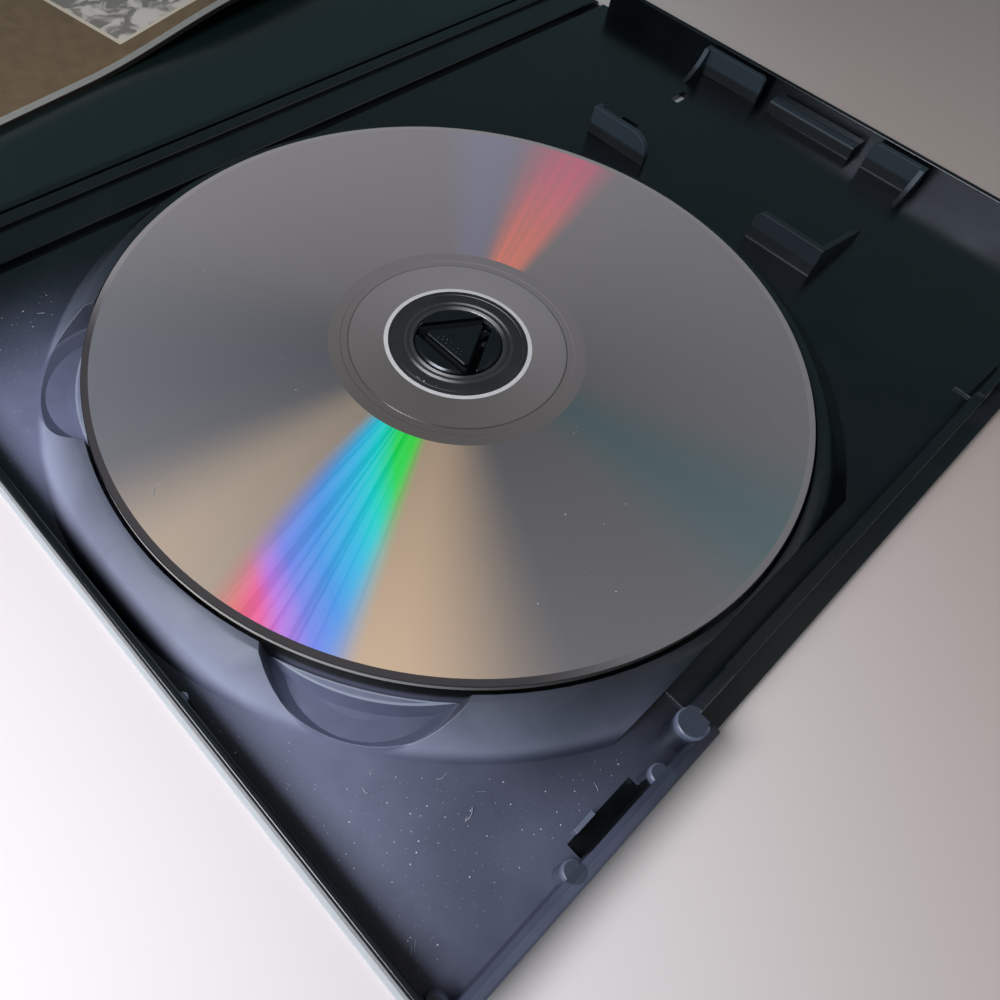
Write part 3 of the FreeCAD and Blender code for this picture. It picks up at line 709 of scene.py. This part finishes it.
def booklet_sheet(height):
    # Corners of one outer sheet, in rows from the outer edge to the free edge
    rows = []
    for i in range(cells_across + 1):
        row = []
        for j in range(cells_along + 1):
            u = i / cells_across
            v = j / cells_along
            level = height + booklet_lift(u, v)
            spot = Vector(((u - 0.5) * booklet_width, (v - 0.5) * booklet_height, level))
            row.append(shape.verts.new((booklet_turn @ spot + booklet_middle) * mm))
        rows.append(row)
    return rows


def booklet_face(corners, uvs, finish_index):
    # One cell of the block's skin, with its place on the page
    face = shape.faces.new(corners)
    for loop, uv in zip(face.loops, uvs):
        loop[page_map].uv = uv
    face.material_index = finish_index
    face.smooth = True


def edge_face(corners, start, end, flip, finish_index):
    # One cell of the block's sides, with its place along the edge and up through the pages
    uvs = [(start, 0.0), (end, 0.0), (end, 1.0), (start, 1.0)]
    if flip:
        corners, uvs = corners[::-1], uvs[::-1]
    booklet_face(corners, uvs, finish_index)


lower = booklet_sheet(0.0)
upper = booklet_sheet(booklet_thickness)
for i in range(cells_across):
    for j in range(cells_along):
        u0, u1 = i / cells_across, (i + 1) / cells_across
        v0, v1 = j / cells_along, (j + 1) / cells_along
        booklet_face((upper[i][j], upper[i + 1][j], upper[i + 1][j + 1], upper[i][j + 1]),
                     ((u0, v0), (u1, v0), (u1, v1), (u0, v1)), 0)
        booklet_face((lower[i][j], lower[i][j + 1], lower[i + 1][j + 1], lower[i + 1][j]),
                     ((u0, v0), (u0, v1), (u1, v1), (u1, v0)), 0)
for j in range(cells_along):
    start, end = j / cells_along * long_edge_repeat, (j + 1) / cells_along * long_edge_repeat
    for i, flip in ((0, True), (cells_across, False)):
        corners = [lower[i][j], lower[i][j + 1], upper[i][j + 1], upper[i][j]]
        edge_face(corners, start, end, flip, 1 if i else 0)
for i in range(cells_across):
    start, end = i / cells_across * short_edge_repeat, (i + 1) / cells_across * short_edge_repeat
    for j, flip in ((0, False), (cells_along, True)):
        corners = [lower[i][j], lower[i + 1][j], upper[i + 1][j], upper[i][j]]
        edge_face(corners, start, end, flip, 1)
bmesh.ops.recalc_face_normals(shape, faces=shape.faces)
for edge in shape.edges:
    edge.smooth = edge.calc_face_angle() < math.radians(40)
booklet = built(shape, "booklet_pages", printed_cover, page_edges)
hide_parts("booklet")
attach(booklet, "cover")


# Dust: pale household specks and short fibres of lint, lying loose on the bare floor of the tray's low
# end, with a few on the disc.
tile = 2.0 * mm
dusty_columns = range(8, 72)
dusty_rows = range(-47, 20)
disc_zone = (23.0 * mm, 57.0 * mm)
floor_x = (16.0 * mm, 137.0 * mm)
floor_y = (-91.0 * mm, -52.0 * mm)
clear_of_disc = 70.0 * mm
clear_of_scoop = 15.0 * mm
share_on_disc = 0.02
slight_tilt = 0.25
full_turn = 6.283
patch = bmesh.new()
amount = patch.faces.layers.float.new("amount")
for column in dusty_columns:
    for row in dusty_rows:
        middle = Vector(((column + 0.5) * tile, (row + 0.5) * tile, 0.0))
        from_disc = (middle - disc_centre).length
        from_scoop = math.hypot(abs(middle.x - disc_centre.x) - scoop_offset, middle.y - scoop_y)
        on_disc = disc_zone[0] < from_disc < disc_zone[1]
        on_floor = floor_x[0] < middle.x < floor_x[1] and floor_y[0] < middle.y < floor_y[1]
        on_floor = on_floor and from_disc > clear_of_disc and from_scoop > clear_of_scoop
        if not on_disc and not on_floor:
            continue
        level = disc_top if on_disc else tray_floor
        corners = [patch.verts.new((middle.x + a * tile / 2, middle.y + b * tile / 2, level))
                   for a, b in ((-1, -1), (1, -1), (1, 1), (-1, 1))]
        patch.faces.new(corners)[amount] = share_on_disc if on_disc else 1.0
dust = built(patch, "dust_patch")

pale_dust, tree, shader = finish("pale_dust", Roughness=0.85)
clumps = speckled(tree, add(tree, "ShaderNodeTexCoord").outputs["Object"], 3000.0, 2.0)
tree.links.new(tint(tree, clumps, shade(150, 156, 176), shade(226, 230, 240)), shader.inputs["Base Color"])

scatter = bpy.data.node_groups.new("scattered_dust", "GeometryNodeTree")
scatter.interface.new_socket("Geometry", in_out="INPUT", socket_type="NodeSocketGeometry")
settings = {}
for label, kind, value in (("Specks per square metre", "NodeSocketFloat", 420000.0),
                           ("Fibres per square metre", "NodeSocketFloat", 15000.0),
                           ("Smallest speck", "NodeSocketFloat", 0.035 * mm),
                           ("Largest speck", "NodeSocketFloat", 0.125 * mm),
                           ("Seed", "NodeSocketInt", 7)):
    socket = scatter.interface.new_socket(label, in_out="INPUT", socket_type=kind)
    settings[socket.identifier] = value
scatter.interface.new_socket("Geometry", in_out="OUTPUT", socket_type="NodeSocketGeometry")
given = add(scatter, "NodeGroupInput").outputs
share = add(scatter, "GeometryNodeInputNamedAttribute", {"Name": "amount"}, data_type="FLOAT")
share = share.outputs["Attribute"]


def random_vector(low, high, seed):
    # Three values drawn at random for each copy
    made = add(scatter, "FunctionNodeRandomValue", {0: low, 1: high, "Seed": seed},
               data_type="FLOAT_VECTOR")
    return made.outputs[0]


def scattered(density, shape_to_place, size, seed):
    # Copies of one small shape, strewn over the patch and turned at random
    thinned = calc(scatter, "MULTIPLY", density, share)
    points = add(scatter, "GeometryNodeDistributePointsOnFaces",
                 {"Mesh": given["Geometry"], "Density": thinned, "Seed": seed})
    turn = random_vector((0.0, 0.0, 0.0), (slight_tilt, slight_tilt, full_turn), seed)
    placed = add(scatter, "GeometryNodeInstanceOnPoints",
                 {"Points": points.outputs["Points"], "Instance": shape_to_place, "Rotation": turn,
                  "Scale": size})
    return placed.outputs["Instances"]


chance = add(scatter, "FunctionNodeRandomValue", {2: 0.0, 3: 1.0, "Seed": given["Seed"]}, data_type="FLOAT")
mostly_small = calc(scatter, "POWER", chance.outputs[1], 5.0)
span = calc(scatter, "SUBTRACT", given["Largest speck"], given["Smallest speck"])
speck_size = calc(scatter, "MULTIPLY_ADD", mostly_small, span, given["Smallest speck"])
speck_height = calc(scatter, "MULTIPLY", speck_size, 0.6)
flat = add(scatter, "ShaderNodeCombineXYZ", {"X": speck_size, "Y": speck_size, "Z": speck_height})
speck = add(scatter, "GeometryNodeMeshIcoSphere", {"Radius": 1.0, "Subdivisions": 1}).outputs["Mesh"]
specks = scattered(given["Specks per square metre"], speck, flat.outputs["Vector"], given["Seed"])
bend = add(scatter, "GeometryNodeCurveArc", {"Resolution": 7, "Radius": 1.1 * mm, "Sweep Angle": 1.9})
thread = add(scatter, "GeometryNodeCurvePrimitiveCircle", {"Resolution": 4, "Radius": 0.03 * mm})
fibre = add(scatter, "GeometryNodeCurveToMesh",
            {"Curve": bend.outputs["Curve"], "Profile Curve": thread.outputs["Curve"]}).outputs["Mesh"]
fibre_size = random_vector((0.4, 0.3, 0.8), (1.4, 1.2, 1.2), given["Seed"])
fibre_seed = calc(scatter, "ADD", given["Seed"], 1.0)
fibres = scattered(given["Fibres per square metre"], fibre, fibre_size, fibre_seed)
strewn = add(scatter, "GeometryNodeJoinGeometry")
scatter.links.new(specks, strewn.inputs[0])
scatter.links.new(fibres, strewn.inputs[0])
solid = add(scatter, "GeometryNodeRealizeInstances", {"Geometry": strewn.outputs["Geometry"]})
painted = add(scatter, "GeometryNodeSetMaterial",
              {"Geometry": solid.outputs["Geometry"], "Material": pale_dust})
add(scatter, "NodeGroupOutput", {"Geometry": painted.outputs["Geometry"]})
strew = dust.modifiers.new("strewn_dust", "NODES")
strew.node_group = scatter
for identifier, value in settings.items():
    strew[identifier] = value
seen_now = bpy.context.evaluated_depsgraph_get()
baked = bpy.data.meshes.new_from_object(dust.evaluated_get(seen_now), depsgraph=seen_now)
dust.modifiers.remove(strew)
baked.name = "dust_and_lint"
dust.data = baked
dust.name = "dust_and_lint"
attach(dust, "tray")


# Floor: a plain pale table top, which the open case lies on. It is a little warmer towards the far
# corner, where the light of the room falls on it.
floor_half = 2.5
floor_drop = 0.2 * mm
warm_from = (0.05, 0.2)
table_top, tree, shader = finish("pale_table", Roughness=0.55)
place = add(tree, "ShaderNodeTexCoord").outputs["Object"]
colour = tint(tree, speckled(tree, place, 9.0, 3.0), shade(228, 223, 226), shade(234, 229, 232))
parts = add(tree, "ShaderNodeSeparateXYZ", {"Vector": place})
far_corner = calc(tree, "ADD", parts.outputs["X"], parts.outputs["Y"])
far_off = spread(tree, far_corner, *warm_from, 0.0, 1.0)
tree.links.new(tint(tree, far_off, colour, shade(214, 199, 194)), shader.inputs["Base Color"])
mesh = bpy.data.meshes.new("table")
mesh.from_pydata([(-floor_half, -floor_half, 0.0), (floor_half, -floor_half, 0.0),
                  (floor_half, floor_half, 0.0), (-floor_half, floor_half, 0.0)], [], [(0, 1, 2, 3)])
mesh.materials.append(table_top)
table = bpy.data.objects.new("table", mesh)
table.location.z = -floor_drop
scene.collection.objects.link(table)


# Light: a soft lamp close to the near side, as from a window, and a weak warm one over the far corner,
# in a dim room that is a little brighter towards the ceiling.
def soft_lamp(name, where, towards, size, watts, colour):
    # A flat lamp that faces a spot on the case
    data = bpy.data.lights.new(name, "AREA")
    data.shape = "RECTANGLE"
    data.size, data.size_y = size
    data.energy = watts
    data.color = colour
    lamp = bpy.data.objects.new(name, data)
    lamp.location = where
    lamp.rotation_euler = (Vector(towards) - Vector(where)).to_track_quat("-Z", "Y").to_euler()
    scene.collection.objects.link(lamp)


soft_lamp("window", where=(0.055, -0.23, 0.215), towards=(0.08, -0.06, 0.0), size=(0.16, 0.14),
          watts=0.83, colour=(1.0, 0.98, 0.99))
soft_lamp("room_light", where=(0.4, 0.35, 0.45), towards=(0.08, 0.0, 0.0), size=(0.45, 0.45),
          watts=0.16, colour=(1.0, 0.84, 0.7))

room = bpy.data.worlds.new("room")
scene.world = room
room.use_nodes = True
tree = room.node_tree
direction = add(tree, "ShaderNodeTexCoord").outputs["Generated"]
height = add(tree, "ShaderNodeSeparateXYZ", {"Vector": direction}).outputs["Z"]
dim_room = ramp(tree, height, [(0.0, (0.06, 0.095, 0.1, 1.0)), (0.5, (0.08, 0.125, 0.13, 1.0)),
                               (0.8, (0.09, 0.115, 0.125, 1.0)), (0.92, (0.11, 0.11, 0.115, 1.0)),
                               (1.0, (0.18, 0.165, 0.16, 1.0))])
seen = add(tree, "ShaderNodeLightPath").outputs["Is Camera Ray"]
backdrop = tint(tree, seen, dim_room, (0.62, 0.6, 0.61, 1.0))
tree.links.new(backdrop, tree.nodes["Background"].inputs["Color"])
scene.view_settings.view_transform = "Standard"


# Camera: close above the near corner of the tray, turned as in the photograph. Its place, turn and
# lens come from a fit to the rim and hole of the disc and the edges of the case.
sensor_width = 36.0
focal_share = 0.7902
camera = bpy.data.objects.new("camera", bpy.data.cameras.new("camera"))
scene.collection.objects.link(camera)
stand = Vector((133.7186, -98.9903, 103.5354)) * mm
aim = Vector((93.3713, -49.6539, 0.0)) * mm
roll = math.radians(8.9933)
level_view = (aim - stand).to_track_quat("-Z", "Y").to_matrix().to_4x4()
camera.matrix_world = Matrix.Translation(stand) @ level_view @ Matrix.Rotation(roll, 4, "Z")
camera.data.sensor_width = sensor_width
camera.data.lens = sensor_width * focal_share
camera.data.shift_x = 0.0739
camera.data.shift_y = 0.0238
camera.data.clip_start = 0.005
scene.camera = camera
